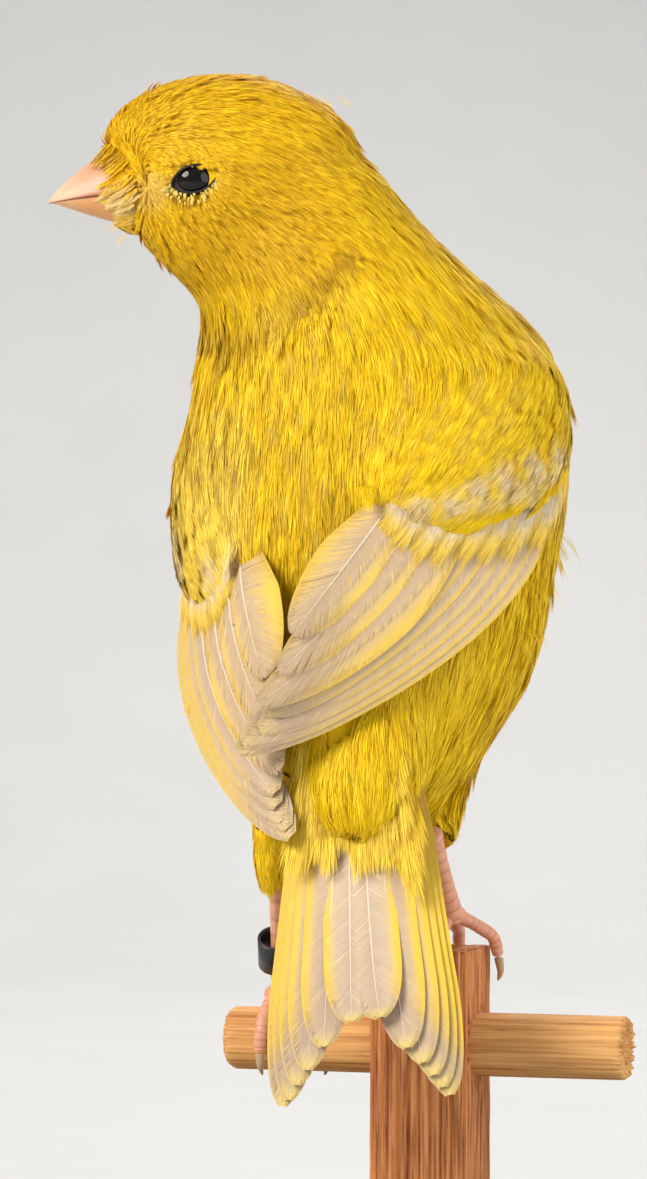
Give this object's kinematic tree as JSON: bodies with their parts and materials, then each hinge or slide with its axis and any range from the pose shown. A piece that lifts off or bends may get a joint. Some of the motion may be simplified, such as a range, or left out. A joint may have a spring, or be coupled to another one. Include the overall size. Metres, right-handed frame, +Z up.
{
  "type": "canary figure on a perch",
  "caption": "Life-size yellow canary looking back over its shoulder, gripping a cut length of wooden perch held on a plain round stand.",
  "frame": {"origin": "centre of the stand base's underside, straight under the axis of the perch's post", "axes": "+Z up; +X along the dowel of the perch, towards the bird's right wing; +Y away from the camera, so the bird's back and tail are on the -Y side"},
  "size_m": [0.0859, 0.08, 0.1538],
  "materials": {
    "plumage": "yellow body feathers, soft and matt",
    "wing_feather": "cream and mauve-grey wing vanes edged with yellow",
    "tail_feather": "cream tail vanes with pale yellow edges",
    "eye": "wet and nearly black",
    "lid": "thin skin set with tiny pale yellow feathers",
    "bill": "satin pink horn, paler at the tip",
    "leg": "scaled orange-pink skin",
    "claw": "satin horn",
    "ring": "black with a worn grey rim",
    "dowel": "bare, fine straight grain",
    "post": "bare, ribbed and weathered",
    "stand": "matt dark grey"
  },
  "bodies": {
    "root": {"stand_base": "stand", "stand_rod": "stand", "perch_dowel": "dowel", "perch_post": "post", "head": "plumage", "neck": "plumage", "torso": "plumage", "rump": "plumage", "thigh_right": "plumage", "thigh_left": "plumage", "wing_right": "wing_feather", "wing_left": "wing_feather", "tail": "tail_feather", "eye_left": "eye", "eye_right": "eye", "eyelid_left": "lid", "eyelid_right": "lid", "bill_upper": "bill", "bill_lower": "bill", "shank_right": "leg", "shank_left": "leg", "foot_right": "leg", "foot_left": "leg", "leg_ring": "ring", "claw_right_1": "claw", "claw_right_2": "claw", "claw_right_3": "claw", "claw_right_4": "claw", "claw_left_1": "claw", "claw_left_2": "claw", "claw_left_3": "claw", "claw_left_4": "claw"}
  },
  "joints": []
}
